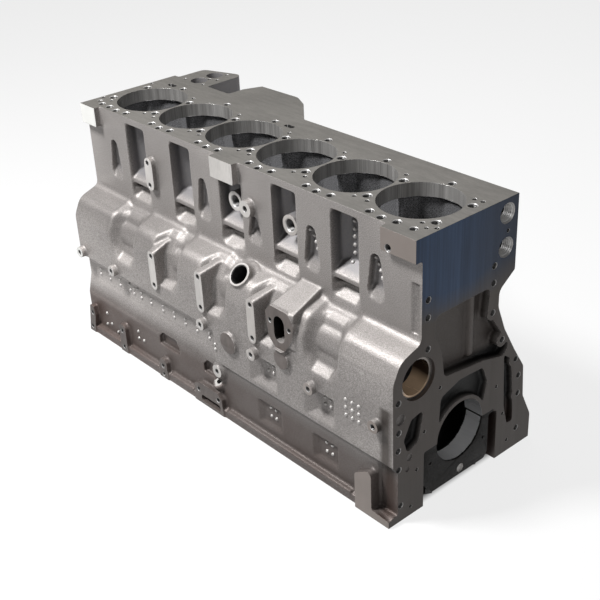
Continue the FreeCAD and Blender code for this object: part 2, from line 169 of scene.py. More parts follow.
def shader_group(name, inputs, outputs):
    """A shader node group with named inputs, and outputs that are all numbers."""
    tree = bpy.data.node_groups.new(name, "ShaderNodeTree")
    for label, kind, start in inputs:
        socket = tree.interface.new_socket(label, in_out="INPUT", socket_type="NodeSocket" + kind)
        if start is not None:
            socket.default_value = start
    for label in outputs:
        tree.interface.new_socket(label, in_out="OUTPUT", socket_type="NodeSocketFloat")
    return tree, tree.nodes.new("NodeGroupInput"), tree.nodes.new("NodeGroupOutput")


# %% The sand-cast skin
def build_cast_skin():
    tree, given, result = shader_group(
        "sand_cast_skin",
        [("Position", "Vector", None), ("Grain Scale", "Float", 700.0)],
        ("Height", "Speckle", "Cloud"),
    )
    place, scale = given.outputs["Position"], given.outputs["Grain Scale"]
    grain = noise(tree, place, scale, detail=3.0, roughness=0.6)
    coarse = noise(tree, place, product(tree, scale, 0.3))
    wave = noise(tree, place, 45.0)
    cloud = noise(tree, place, 9.0, detail=4.0, roughness=0.6)
    height = math_node(tree, "ADD", grain, product(tree, coarse, 0.5))
    height = math_node(tree, "ADD", height, product(tree, wave, 0.5))
    tree.links.new(height, result.inputs["Height"])
    tree.links.new(remap(tree, grain, 0.38, 0.66), result.inputs["Speckle"])
    tree.links.new(remap(tree, cloud, 0.35, 0.68), result.inputs["Cloud"])
    return tree


CAST_SKIN = build_cast_skin()
print("pattern:", CAST_SKIN.name)


# %% The milled lines
def build_milled_lines():
    tree, given, result = shader_group(
        "milled_lines",
        [("Position", "Vector", None), ("Stretch", "Vector", (1.0, 1.0, 1.0))],
        ("Height", "Streak", "Cloud"),
    )
    place, stretch = given.outputs["Position"], given.outputs["Stretch"]
    stretched = add(tree, "ShaderNodeVectorMath", {0: place, 1: stretch}, operation="MULTIPLY")
    fine = noise(tree, stretched.outputs[0], 9.0, detail=3.0, roughness=0.7)
    broad = noise(tree, stretched.outputs[0], 1.6)
    cloud = noise(tree, place, 7.0, detail=3.0, roughness=0.6)
    both = math_node(tree, "ADD", product(tree, fine, 0.5), product(tree, broad, 0.5))
    tree.links.new(fine, result.inputs["Height"])
    tree.links.new(remap(tree, both, 0.36, 0.64), result.inputs["Streak"])
    tree.links.new(remap(tree, cloud, 0.35, 0.66), result.inputs["Cloud"])
    return tree


MILLED_LINES = build_milled_lines()
print("pattern:", MILLED_LINES.name)


# %% Helpers for materials
def new_material(name):
    material = bpy.data.materials.new(name)
    material.use_nodes = True
    tree = material.node_tree
    place = tree.nodes.new("ShaderNodeTexCoord").outputs["Object"]
    return material, tree, tree.nodes["Principled BSDF"], place


def rounded_normal(tree, shader, height, depth, radius):
    """Small bumps over edges that are rounded to a radius when they are shaded."""
    edge = add(tree, "ShaderNodeBevel", {"Radius": radius}, samples=4).outputs[0]
    values = {"Height": height, "Distance": depth, "Strength": 1.0, "Normal": edge}
    bump = add(tree, "ShaderNodeBump", values)
    tree.links.new(bump.outputs[0], shader.inputs["Normal"])


def pattern(tree, group, place, **values):
    node = add(tree, "ShaderNodeGroup", node_tree=group)
    tree.links.new(place, node.inputs["Position"])
    for key, value in values.items():
        node.inputs[key.replace("_", " ")].default_value = value
    return node.outputs


# %% [markdown]
# ## Cast iron
# The blasted skin is a warm light grey. Painted shade darkens the windows, the front pocket,
# the water jackets and the crankcase, which is near black. The low rear of the side has a
# reddish tint of first rust. More painted shade darkens the low side, the front end and the high
# rear, and painted light brightens the low rear. The Pointiness of the mesh tells edges, which
# get a painted highlight, from hollows, which get painted shade.

# %% Painted shade in the hollows
# painted shade: these colours stand for the shade in windows, pocket, jackets and crankcase
WINDOW_SHADE_GREY = (0.17, 0.17, 0.182)
POCKET_SHADE_BROWN = (0.075, 0.064, 0.058)
JACKET_SHADE, JACKET_SHADE_SPECKLE = (0.07, 0.07, 0.074), (0.34, 0.34, 0.35)
CRANKCASE_SHADE_BLACK = (0.006, 0.006, 0.006)
JACKET_RADIUS, JACKET_TOP, JACKET_END = 74, DECK - 18, 3 * PITCH - 2


def bore_reach(tree, x, y):
    """Distance of a point from the axis of the nearest cylinder."""
    cell = math_node(tree, "MODULO", math_node(tree, "ADD", x, 3 * PITCH * MM), PITCH * MM)
    across = math_node(tree, "SUBTRACT", cell, PITCH * MM / 2)
    offset = add(tree, "ShaderNodeCombineXYZ", {"X": across, "Y": y}).outputs[0]
    return add(tree, "ShaderNodeVectorMath", {0: offset}, operation="LENGTH").outputs["Value"]


def painted_hollow_shade(tree, colour, speckle, x, y, z, dark):
    """Painted shade in the windows, the front pocket, the water jackets and the crankcase."""
    window_shade = product(tree, fade(tree, y, -86.5, -74), fade(tree, z, 232, 250))
    colour = mix_colour(tree, window_shade, colour, mix_colour(tree, speckle, WINDOW_SHADE_GREY, dark))
    pocket_shade = math_node(tree, "MAXIMUM", fade(tree, y, -82, -78), fade(tree, z, 105, 100))
    pocket_shade = product(tree, fade(tree, x, 395, 404), pocket_shade, fade(tree, x, 424.5, 414))
    colour = mix_colour(tree, pocket_shade, colour, POCKET_SHADE_BROWN)
    jacket_shade = product(
        tree,
        fade(tree, bore_reach(tree, x, y), JACKET_RADIUS + 0.5, JACKET_RADIUS - 0.5),
        fade(tree, z, JACKET_TOP + 0.5, JACKET_TOP - 0.5),
        fade(tree, x, JACKET_END + 0.5, JACKET_END - 0.5),
    )
    wall = mix_colour(tree, speckle, JACKET_SHADE, JACKET_SHADE_SPECKLE)
    colour = mix_colour(tree, jacket_shade, colour, wall)
    middle = 3 * MM
    width = math_node(tree, "ABSOLUTE", math_node(tree, "SUBTRACT", y, middle))
    length = math_node(tree, "ABSOLUTE", x)
    crankcase_shade = product(
        tree, fade(tree, width, 136, 130), fade(tree, length, 424, 415), fade(tree, z, 118, 105)
    )
    return mix_colour(tree, crankcase_shade, colour, CRANKCASE_SHADE_BLACK)


# %% Rust, painted shade and painted light
RUST = (0.11, 0.072, 0.06)


def rust_and_painted_light(tree, colour, cloud, x, y, z):
    """First rust low on the side, then painted shade and light: darker low down and to the front,
    lighter low and darker high at the rear, lighter on edges and darker in hollows.
    """
    rust = product(
        tree, fade(tree, z, 0, -30), fade(tree, x, 100, -420, 0.7, 0.9),
        remap(tree, cloud, 0.0, 1.0, 0.7, 1.0),
    )
    colour = mix_colour(tree, rust, colour, RUST)
    # painted light and shade at the rear of the side: lighter low down, darker high up
    rear = product(tree, fade(tree, x, 0, -400), fade(tree, y, -90, -100))
    painted_rear_light_and_shade = product(tree, rear, fade(tree, z, 100, 170, 0.35, -0.3))
    bend = tree.nodes.new("ShaderNodeNewGeometry").outputs["Pointiness"]
    # painted shade low and to the front, painted highlights on edges, painted shade in hollows
    shade = product(
        tree,
        fade(tree, z, -12, 12, 0.62, 1.0),
        fade(tree, x, 420, 0, 0.9, 1.0),
        math_node(tree, "ADD", 1.0, painted_rear_light_and_shade),
        remap(tree, bend, 0.46, 0.54, 0.72, 1.28),
    )
    return mix_colour(tree, 1.0, colour, shade, "MULTIPLY")


# %% Build the cast iron
def build_cast_iron(name, light, dark, grain=700.0, on_block=False, gloss=0.5):
    """Blasted cast iron; where it is the block's, painted shade in the hollows, rust, and more
    painted light and shade.
    """
    material, tree, shader, place = new_material(name)
    skin = pattern(tree, CAST_SKIN, place, Grain_Scale=grain)
    colour = mix_colour(tree, skin["Speckle"], dark, light)
    colour = mix_colour(tree, remap(tree, skin["Cloud"], 0.0, 1.0, 0.0, 0.35), colour, dark)
    if on_block:
        x, y, z = split(tree, place)
        colour = painted_hollow_shade(tree, colour, skin["Speckle"], x, y, z, dark)
        colour = rust_and_painted_light(tree, colour, skin["Cloud"], x, y, z)
    tree.links.new(colour, shader.inputs["Base Color"])
    rough = remap(tree, skin["Speckle"], 0.0, 1.0, 0.58, 0.4)
    tree.links.new(rough, shader.inputs["Roughness"])
    shader.inputs["Metallic"].default_value = 0.5
    shader.inputs["Specular IOR Level"].default_value = gloss
    rounded_normal(tree, shader, skin["Height"], depth=0.42 * MM, radius=1.5 * MM)
    return material


CAST_IRON = build_cast_iron(
    "blasted_cast_iron", (0.395, 0.371, 0.357), (0.2, 0.185, 0.177), on_block=True
)
# its near-black colour is also painted shade in the deep hollow of the largest dark pad
CAP_IRON_AND_HOLLOW_SHADE = build_cast_iron(
    "cap_iron_and_hollow_shade", (0.02, 0.0185, 0.018), (0.01, 0.0095, 0.009), grain=800.0, gloss=0.1
)
# the pips are painted lighter than the casting, as a painted highlight; the cap's spot face shares
# it
PIP_IRON = build_cast_iron("pips_painted_light", (0.62, 0.6, 0.585), (0.42, 0.405, 0.39))
print("cast finishes:", CAST_IRON.name, CAP_IRON_AND_HOLLOW_SHADE.name, PIP_IRON.name)

# %% [markdown]
# ## Milled and bored faces
# A face mill leaves long faint lines, and a boring bar leaves rings that show as upright streaks
# where light runs round the bore. Each finish is the same recipe with its own colours, line
# direction and gloss. A tint changes the colour below a wavy height, and the entries of along
# change it between two places of an axis. The upper end face has an oil film that looks blue.


# %% Build the machined finishes
def build_machined(name, light, dark, stretch, rough, metal, tint=None, along=(), gloss=0.5):
    """Milled or bored iron, whose lines are close where the stretch is large."""
    material, tree, shader, place = new_material(name)
    lines = pattern(tree, MILLED_LINES, place, Stretch=stretch)
    axes = split(tree, place)
    colour = mix_colour(tree, lines["Streak"], dark, light)
    for axis, start, end, end_colour in along:
        colour = mix_colour(tree, fade(tree, axes[axis], start, end), colour, end_colour)
    if tint:
        low_z, high_z, low_colour = tint
        wavy = remap(tree, lines["Cloud"], 0.0, 1.0, -8 * MM, 8 * MM)
        height = math_node(tree, "ADD", axes[2], wavy)
        colour = mix_colour(tree, fade(tree, height, high_z, low_z), colour, low_colour)
    shade = remap(tree, lines["Cloud"], 0.0, 1.0, 0.82, 1.0)
    colour = mix_colour(tree, 1.0, colour, shade, "MULTIPLY")
    tree.links.new(colour, shader.inputs["Base Color"])
    roughness = remap(tree, lines["Streak"], 0.0, 1.0, rough + 0.08, rough - 0.05)
    tree.links.new(roughness, shader.inputs["Roughness"])
    shader.inputs["Metallic"].default_value = metal
    shader.inputs["Specular IOR Level"].default_value = gloss
    rounded_normal(tree, shader, lines["Height"], depth=0.04 * MM, radius=1 * MM)
    return material


DECK_FACE = build_machined(
    "milled_deck", (0.2, 0.189, 0.174), (0.152, 0.145, 0.133), (12, 60, 12), 0.42, 0.35
)
END_FACE = build_machined(
    "milled_front_end", (0.024, 0.06, 0.135), (0.014, 0.035, 0.08), (10, 30, 1), 0.36, 0.3,
    tint=(218, 262, (0.072, 0.06, 0.053)), along=((1, 0, 100, (0.008, 0.018, 0.042)),), gloss=0.3,
)
REAR_FACE = build_machined(
    "milled_rear_end", (0.24, 0.23, 0.22), (0.205, 0.196, 0.187), (10, 60, 3), 0.4, 0.35
)
# pads brown to the front, near white at the rear end: painted shade and a painted reflection
PAD_FACE = build_machined(
    "milled_pads", (0.6, 0.575, 0.55), (0.5, 0.48, 0.46), (50, 10, 12), 0.34, 0.3,
    along=((0, 40, 300, (0.24, 0.205, 0.185)), (0, -362, -385, (0.9, 0.9, 0.87))),
)
# a darker finish for some of the pads
DARK_PAD = build_machined(
    "dark_pads", (0.13, 0.108, 0.098), (0.09, 0.075, 0.068), (50, 10, 12), 0.4, 0.3
)
print("milled finishes: 5")

# %% Build the bored and small finishes
BORE_STEEL = build_machined(
    "bored_iron", (0.5, 0.49, 0.475), (0.2, 0.193, 0.187), (90, 90, 1), 0.3, 0.5
)
# the main bore is painted near white, far lighter than honed steel, as a painted highlight
CRANK_STEEL = build_machined(
    "honed_bore_painted_light", (0.85, 0.85, 0.86), (0.7, 0.7, 0.71), (1, 9, 9), 0.3, 0.1
)
# holes, slots and the camshaft tunnel are painted near black, as the shade inside them
HOLE_SHADE_STEEL = build_machined(
    "holes_painted_shade", (0.1, 0.096, 0.094), (0.03, 0.029, 0.028), (60, 60, 60), 0.3, 0.5
)
# the thread crests are painted dark, as the shade inside the holes
THREAD_SHADE_STEEL = build_machined(
    "thread_crests_painted_shade", (0.16, 0.157, 0.154), (0.08, 0.078, 0.077), (60, 60, 60), 0.4, 0.5
)
# the chamfers round the holes' mouths are painted light, a painted glint
CHAMFER_GLINT_STEEL = build_machined(
    "hole_chamfers_painted_glint", (0.6, 0.59, 0.58), (0.4, 0.39, 0.385), (60, 60, 60), 0.35, 0.3
)
# the front ports' threads are painted near white, a painted highlight deep in the holes
PORT_LIGHT_STEEL = build_machined(
    "port_threads", (0.9, 0.89, 0.88), (0.6, 0.59, 0.58), (60, 60, 60), 0.3, 0.2
)
# the bush: painted shade up high, a painted gold reflection low, a painted highlight on its rim
BRONZE_PAINTED_LIGHT = build_machined(
    "bush_bronze_painted_light", (0.09, 0.056, 0.038), (0.05, 0.032, 0.022), (2, 20, 20), 0.22, 0.2,
    tint=(117, 129, (0.95, 0.68, 0.45)), along=((0, 417.8, 418.6, (0.42, 0.38, 0.35)),),
)
BOLT_STEEL = build_machined(
    "bolt_steel", (0.075, 0.073, 0.072), (0.04, 0.04, 0.041), (30, 30, 30), 0.36, 0.7
)
print("finishes in all:", len(bpy.data.materials))

# %% [markdown]
# ## Turned forms
# Tapped holes, cast bosses, pips and thread turns are all round, so each is a half profile turned
# about an axis, at a size of one metre. Geometry Nodes then set a copy on every point of a carrier
# mesh, scaled and aimed by the point's own attributes.


# %% Turn a profile
def turned(name, profile, steps=24, loop=False):
    """A closed solid of revolution about Z from (radius, height) pairs, or a ring from a loop."""
    mesh = bpy.data.meshes.new(name)
    work = bmesh.new()
    rings = []
    turns = [2 * math.pi * k / steps for k in range(steps)]
    for radius, height in profile:
        places = [(radius * math.cos(t), radius * math.sin(t), height) for t in turns]
        rings.append([work.verts.new(place) for place in (places if radius else places[:1])])
    for low, high in zip(rings, rings[1:] + (rings[:1] if loop else [])):
        for k in range(steps):
            n = k + 1
            corners = [low[k % len(low)], low[n % len(low)]]
            corners += [high[n % len(high)], high[k % len(high)]]
            work.faces.new(list(dict.fromkeys(corners)))
    bmesh.ops.recalc_face_normals(work, faces=work.faces)
    work.to_mesh(mesh)
    work.free()
    return bpy.data.objects.new(name, mesh)


# the drill leaves a countersink, a straight wall and a cone at the bottom
DRILL = turned(
    "drill_form", [(0, 0.3), (1.14, 0.3), (1.14, 0.0), (1.0, -0.14), (1.0, -2.6), (0, -3.1)]
)
SPOT = turned("spot_form", [(0, 0.3), (1.1, 0.3), (1.0, 0.0), (0.9, -0.3), (0, -0.34)], 32)


def thread_form(name, pitch, turns, steps):
    """The ridges of a tapped thread, as rings with sharp crests on the hole's wall."""
    wall, crest, behind, mouth = 0.985, 0.86, 1.03, -0.16
    bottom = mouth - pitch * turns
    ridges = []
    for k in range(turns):
        ridges += [(wall, mouth - pitch * k), (crest, mouth - pitch * (k + 0.5))]
    return turned(name, ridges + [(wall, bottom), (behind, bottom), (behind, mouth)], steps, True)


THREAD = thread_form("thread_form", 0.3, 6, 16)
PORT_THREAD = thread_form("port_thread_form", 0.22, 5, 40)
dome = [(math.cos(a), 0.05 + 0.8 * math.sin(a)) for a in map(math.radians, (0, 22, 45, 68))]
PIP = turned("pip_form", [(1.35, -0.5), (1.05, 0.05)] + dome + [(0, 0.85)], 12)
boss_foot = [(0, -1.2), (1.55, -1.2), (1.45, -0.9), (1.16, -0.72), (1.06, -0.55)]
BOSS = turned("boss_form", boss_foot + [(1.03, -0.1), (0.95, 0.0), (0, 0.0)], 32)
print("turned forms: drill, spot, threads, pip, boss")


# %% Set forms on points
def forms_on_points():
    """Geometry nodes that set one form on every point, by its size, facing and spin."""
    tree = bpy.data.node_groups.new("forms_on_points", "GeometryNodeTree")
    sockets = (
        ("Geometry", "Geometry"),
        ("Form", "Object"),
        ("Size Factor", "Float"),
        ("Spin Seed", "Int"),
        ("Finish", "Material"),
    )
    for label, kind in sockets:
        tree.interface.new_socket(label, in_out="INPUT", socket_type="NodeSocket" + kind)
    tree.interface.new_socket("Geometry", in_out="OUTPUT", socket_type="NodeSocketGeometry")
    given = tree.nodes.new("NodeGroupInput").outputs
    form = add(tree, "GeometryNodeObjectInfo", {"Object": given["Form"]}).outputs["Geometry"]
    attribute = "GeometryNodeInputNamedAttribute"
    facing = add(tree, attribute, {"Name": "facing"}, data_type="FLOAT_VECTOR")
    size = add(tree, attribute, {"Name": "size"}, data_type="FLOAT")
    values = {2: 0.0, 3: math.tau, "Seed": given["Spin Seed"]}
    spin = add(tree, "FunctionNodeRandomValue", values, data_type="FLOAT")
    turn = add(tree, "ShaderNodeCombineXYZ", {"Z": spin.outputs[1]})
    spun = add(tree, "FunctionNodeEulerToRotation", {0: turn.outputs[0]}).outputs[0]
    values = {"Rotation": spun, "Vector": facing.outputs["Attribute"]}
    aim = add(tree, "FunctionNodeAlignRotationToVector", values, axis="Z").outputs[0]
    scale = product(tree, size.outputs["Attribute"], given["Size Factor"])
    values = {"Points": given["Geometry"], "Instance": form, "Rotation": aim, "Scale": scale}
    placed = add(tree, "GeometryNodeInstanceOnPoints", values)
    real = add(tree, "GeometryNodeRealizeInstances", {0: placed.outputs[0]}).outputs[0]
    values = {"Geometry": real, "Material": given["Finish"]}
    dressed = add(tree, "GeometryNodeSetMaterial", values)
    tree.links.new(dressed.outputs[0], tree.nodes.new("NodeGroupOutput").inputs[0])
    return tree


FORMS_ON_POINTS = forms_on_points()


def plain_mesh(obj):
    """Takes the evaluated mesh of an object in place of its modifiers."""
    bpy.context.view_layer.update()
    depsgraph = bpy.context.evaluated_depsgraph_get()
    mesh = bpy.data.meshes.new_from_object(obj.evaluated_get(depsgraph))
    obj.modifiers.clear()
    obj.data = mesh
    return mesh


def repeat(name, form, spots, finish, seed=0):
    """One mesh of a form set on spots, each a point in mm, a facing direction and a size in mm."""
    carrier = bpy.data.meshes.new(name)
    carrier.from_pydata([Vector(place) * MM for place, facing, size in spots], [], [])
    directions = [v for place, facing, size in spots for v in Vector(facing).normalized()]
    sizes = [size * MM for place, facing, size in spots]
    attribute = carrier.attributes.new("facing", "FLOAT_VECTOR", "POINT")
    attribute.data.foreach_set("vector", directions)
    attribute = carrier.attributes.new("size", "FLOAT", "POINT")
    attribute.data.foreach_set("value", sizes)
    holder = bpy.data.objects.new(name, carrier)
    bpy.context.collection.objects.link(holder)
    modifier = holder.modifiers.new("forms", "NODES")
    modifier.node_group = FORMS_ON_POINTS
    values = {"Form": form, "Size Factor": 1.0, "Spin Seed": seed, "Finish": finish}
    for socket in FORMS_ON_POINTS.interface.items_tree:
        if socket.in_out == "INPUT" and socket.name in values:
            modifier[socket.identifier] = values[socket.name]
    plain_mesh(holder)
    return holder


print("node tree:", FORMS_ON_POINTS.name)

# %% [markdown]
# ## Where the holes go
# Bolt holes follow the parts that bolt on: the head round every bore, the gear housing on the
# front, small covers and pipes on the camshaft side. Places are taken from the photograph with
# the fitted camera, face by face. Holes that the CAD model already has are opened again, because
# the casting is plugged before it is rounded.

# %% Deck holes
drilled, opened = [], []
round_bore = ((-27, -77, 6.5), (0, -81, 6.5), (27, -77, 6.5), (-6, 75, 6))
for x in BORES:
    drilled += [((x + dx, y, DECK), UP, r) for dx, y, r in round_bore]
for x in BETWEEN:
    opened += [((x, y, DECK), UP, 7) for y in (-41.5, 35)]
    drilled += [((x + dx, y, DECK), UP, 3.4) for dx, y in ((-13.5, -55), (13.5, -55), (-12.5, 54))]
ends = ((396.5, -77.5, 6), (407.5, -64, 3), (407, 55, 3.5), (-407.5, -70, 4.5), (-389.5, -77, 6))
drilled += [((x, y, DECK), UP, r) for x, y, r in ends]
coolant_slots = [(x - 6, y, x + 6, y) for x, y in ((-377.5, 74), (-36, 75))]
cooler = ((-349.5, 185), (-392.5, 187), (-354.5, 146), (-392.5, 116), (-337.5, 152), (-337.5, 117))
drilled += [((x, y, DECK), UP, 3.5) for x, y in cooler]
print(len(drilled), "small deck holes")

# %% Front end holes
front_tapped = (
    (-76, 180), (-137, 115), (-136, 63), (-137, 31), (-136, -4), (-132, -73),
    (67, 181), (93, 123), (131, 71), (140, 36), (141, 1), (142, -68),
)
front_small = (
    (-110, -87), (-97, -24), (-81, 38), (-48, 101),
    (41, 85.5), (85, 40), (104, -21), (119, -81), (93, 309),
)
drilled += [((FRONT, y, z), FORWARD, 5) for y, z in front_tapped]
drilled += [((FRONT, y, z), FORWARD, 2.8) for y, z in front_small]
opened += [((FRONT, y, z), FORWARD, 5) for y in (-77, 66) for z in (261, 232)]
opened += [((FRONT, 90, z), FORWARD, 14.5) for z in (338, 283)]
front_spots = ((-132, 85, 9.5), (-113, 8, 6), (-118, -12, 4.5))
spotted = [((FRONT, y, z), FORWARD, r) for y, z, r in front_spots]
print(len(front_tapped) + len(front_small), "holes and", len(spotted), "spots in the front end")

# %% Camshaft side holes
RING_Y, STUD_PLACE = -159, (4.5, -152, -13)
side_tapped = (
    (-223.5, 296, -100, 4.5), (-222.5, 254, -100, 4.5), (52.5, 293, -102, 5),
    (-163.5, 152, -153, 4.5), (-163.5, 95, -153, 4.5),
    (-24.5, 162, -153, 4.5), (-24.5, 103.5, -153, 4.5),
    (113.5, 162, -153, 4.5), (113.5, 100.5, -153, 4.5),
    (162.5, 155, -153, 4), (207.5, 153, -153, 4),
    (371.5, 333, -103, 5.5), (5.5, 287, -84, 10), (141.5, 287, -84, 10),
    (-406, -58, -154, 4.5), (-414, -92, -154, 4.5),
    (-298.5, -56, -154, 4.5), (-298.5, -92, -154, 4.5),
    (-165.5, -77, -154, 4.5), (-165.5, -95, -154, 4),
    (-54.5, -76, -154, 4.5), (2.5, -74, -154, 4.5),
)
ring_bosses = ((-411, 77), (-300.5, 75), (-23.5, 72), (113.5, 71), (252.5, 70), (393.5, 70))
drilled += [((x, y, z), OUT, r) for x, z, y, r in side_tapped]
drilled += [((x, RING_Y, z), OUT, 4.5) for x, z in ring_bosses]
drilled += [(STUD_PLACE, OUT, 4.5)]
print(len(drilled), "holes drilled,", len(opened), "modelled holes opened again")

# %% [markdown]
# ## The casting
# The CAD solid becomes one clean mesh, with its doubled points merged. Boolean modifiers add the
# rounded bosses and take away the drills. The manifold solver is used because every form here is
# closed, and it keeps each form's material on the faces that it cuts.

# %% Copy the casting
FINISHES = [CAST_IRON, DECK_FACE, END_FACE, REAR_FACE, PAD_FACE, BORE_STEEL, CRANK_STEEL]
FINISHES += [HOLE_SHADE_STEEL, CAP_IRON_AND_HOLLOW_SHADE, PIP_IRON, THREAD_SHADE_STEEL, CHAMFER_GLINT_STEEL, PORT_LIGHT_STEEL, DARK_PAD]
SLOT = {material.name: i for i, material in enumerate(FINISHES)}


def merged_copy(node, name):
    """A copy of a CAD node as one closed mesh."""
    mesh = nodes[node].data.copy()
    work = bmesh.new()
    work.from_mesh(mesh)
    bmesh.ops.remove_doubles(work, verts=work.verts, dist=MM / 1000)
    loose = sum(1 for e in work.edges if not e.is_manifold)
    work.to_mesh(mesh)
    work.free()
    copy = bpy.data.objects.new(name, mesh)
    bpy.context.collection.objects.link(copy)
    print(name, "faces:", len(mesh.polygons), "open edges:", loose)
    return copy


def set_slots(obj, finish):
    """Gives a mesh the casting's list of finishes, with every face in one of them."""
    obj.data.materials.clear()
    for material in FINISHES:
        obj.data.materials.append(material)
    faces = obj.data.polygons
    faces.foreach_set("material_index", [SLOT[finish.name]] * len(faces))


def combine(obj, other, operation):
    """Joins another closed mesh to an object or cuts it away."""
    modifier = obj.modifiers.new(operation.lower(), "BOOLEAN")
    modifier.object = other
    modifier.operation = operation
    modifier.solver = "MANIFOLD"
    mesh = plain_mesh(obj)
    bpy.data.objects.remove(other)
    print(operation.lower(), "leaves", len(mesh.polygons), "faces")


def smooth_by_angle(obj, degrees=32):
    """Smooth shading, with a hard edge wherever two faces meet at more than an angle."""
    sharp, unjoined = math.radians(degrees), 3.2
    work = bmesh.new()
    work.from_mesh(obj.data)
    for edge in work.edges:
        edge.smooth = len(edge.link_faces) == 2 and edge.calc_face_angle(unjoined) < sharp
    for face in work.faces:
        face.smooth = True
    work.to_mesh(obj.data)
    work.free()


casting = merged_copy("cylinder_block", "cast_block")
set_slots(casting, CAST_IRON)

# %% [markdown]
# The real block leaves the sand mould oversize and rounded, and only then is milled and bored to
# size. The mesh goes the same way: its milled faces are moved out by an allowance and its small
# holes are plugged, a voxel remesh and a few rounds of smoothing give every cast edge and corner
# its radius, and the cutters then bring the milled faces back to their exact places, crisp again.

# %% Leave an allowance on the milled faces
ALLOWANCE, SIDE_ALLOWANCE, RADIAL = 7, 6, 5
CAM_ROUGH_RADIUS = 24
SIDE_FACES = (-84, -100, -102, -103, -153, -154, -158, RING_Y)


def with_allowance(p):
    """Where a point of the CAD model lies before milling: narrower bores, prouder faces."""
    x, y, z = p / MM
    bore = min(BORES, key=lambda b: abs(x - b))
    reach = math.hypot(x - bore, y)
    on_seat = abs(reach - SEAT_RADIUS) < 0.5 and z > SEAT_Z - 1
    on_land = abs(reach - LAND_RADIUS) < 0.5 and LAND_LOW < z < LAND_HIGH
    if on_seat or on_land:
        x, y = bore + (x - bore) * (1 - RADIAL / reach), y * (1 - RADIAL / reach)
    reach = math.hypot(y, z)
    if abs(reach - MAIN_RADIUS) < 0.3:
        y, z = y * (1 - RADIAL / reach), z * (1 - RADIAL / reach)
    reach = math.hypot(y - CAM_Y, z - CAM_Z)
    if CAM_RADIUS - 0.5 < reach < BUSH_STEP_RADIUS + 0.5:
        y = CAM_Y + (y - CAM_Y) * CAM_ROUGH_RADIUS / reach
        z = CAM_Z + (z - CAM_Z) * CAM_ROUGH_RADIUS / reach
    if any(abs(y - face) < 0.05 for face in SIDE_FACES) and (y < -110 or z > 240):
        y -= SIDE_ALLOWANCE
    if z > DECK - 0.1:
        z += ALLOWANCE
    if z < RAIL + 0.1:
        z -= ALLOWANCE
    if abs(x) > FRONT - 0.1:
        x += math.copysign(ALLOWANCE, x)
    return Vector((x, y, z)) * MM


for vertex in casting.data.vertices:
    vertex.co = with_allowance(vertex.co)
print(ALLOWANCE, "mm of allowance on the milled faces")

# %% Plug the holes and set the round bosses
PLUG = turned("plug_form", [(0, -8.0), (1.0, -8.0), (1.0, 0.0), (0, 0.0)], 16)
WIDEST_BOLT_HOLE, PLUG_GROWTH = 7, 1.12
PORT_AXIS, PORT_FACE = Vector((0, -0.72, 0.694)), Vector((60, -129.1, 188.8))
plug_spots = [
    (Vector(place) + Vector(facing) * (ALLOWANCE - 2), facing, radius * PLUG_GROWTH)
    for place, facing, radius in opened
    if radius <= WIDEST_BOLT_HOLE
]
stud_boss = ((4.5, -158, -13), OUT, 11)
collar = (PORT_FACE + 2 * PORT_AXIS, PORT_AXIS, 20.5)
plugs = repeat("plugs", PLUG, plug_spots, CAST_IRON)
bosses = repeat("round_bosses", BOSS, [stud_boss, collar], CAST_IRON)
for extra in (plugs, bosses):
    set_slots(extra, CAST_IRON)
    combine(casting, extra, "UNION")


# %% Cutters from boxes
def slab(low, high):
    """Corners and faces of a box from two corners in mm."""
    xs, ys, zs = zip(low, high)
    points = [(x, y, z) for x in xs for y in ys for z in zs]
    sides = [(0, 1, 3, 2), (4, 6, 7, 5), (0, 4, 5, 1), (2, 3, 7, 6), (0, 2, 6, 4), (1, 5, 7, 3)]
    return [Vector(p) * MM for p in points], sides


def solid(name, parts, finish):
    """One mesh from closed parts that don't touch each other."""
    points, faces = [], []
    for part_points, part_faces in parts:
        faces += [[i + len(points) for i in face] for face in part_faces]
        points += part_points
    mesh = bpy.data.meshes.new(name)
    mesh.from_pydata(points, [], faces)
    obj = bpy.data.objects.new(name, mesh)
    bpy.context.collection.objects.link(obj)
    set_slots(obj, finish)
    return obj


# a narrow ledge runs along the foot of the side, above the rail
LEDGES = ((-398, -314), (-282, -184), (-146, -74), (26, 336))
ledges = [slab((x0, -153.5, -91), (x1, -140, -85)) for x0, x1 in LEDGES]
combine(casting, solid("ledges", ledges, CAST_IRON), "UNION")

# %% Remesh the casting
VOXEL = 0.002
ROUNDS = 4
SOFT_ROUNDS = 12
TARGET = 240000
started = time.time()


def settle(obj, kind, **settings):
    """Applies one modifier by taking the evaluated mesh."""
    modifier = obj.modifiers.new(kind.lower(), kind)
    for key, value in settings.items():
        setattr(modifier, key, value)
    mesh = plain_mesh(obj)
    passed = round(time.time() - started, 1)
    print(kind.lower(), "leaves", len(mesh.polygons), "faces,", passed, "s")


settle(casting, "REMESH", mode="VOXEL", voxel_size=VOXEL, adaptivity=0.0)

# %% [markdown]
# ## Valleys and radii
# Valleys run down the bulge between the cylinders, with webs standing in some of them. The real
# ones are deeper and softer than flat CAD faces make them, so their points move towards the
# camshaft tunnel, as far as its wall. Smoothing then rounds the casting's edges, a second, longer
# smoothing works on the valleys alone, and Decimate thins the mesh.

# %% Deepen the valleys
WEB_PLACES = ((-175.5, -137.5), (-36.5, 1.5), (101, 226))
VALLEYS, HALF_WIDTH, DEPTH, TUNNEL_WALL = BETWEEN[1:6], 42, 6, 35
BULGE_OUT, BULGE_IN, VALLEY_FOOT, VALLEY_HEAD = -151, -88, 88, 224
CORNER_X = 395


def step(value, low, high):
    """A smooth step from 0 to 1 between two values."""
    t = min(1.0, max(0.0, (value - low) / (high - low)))
    return t * t * (3 - 2 * t)


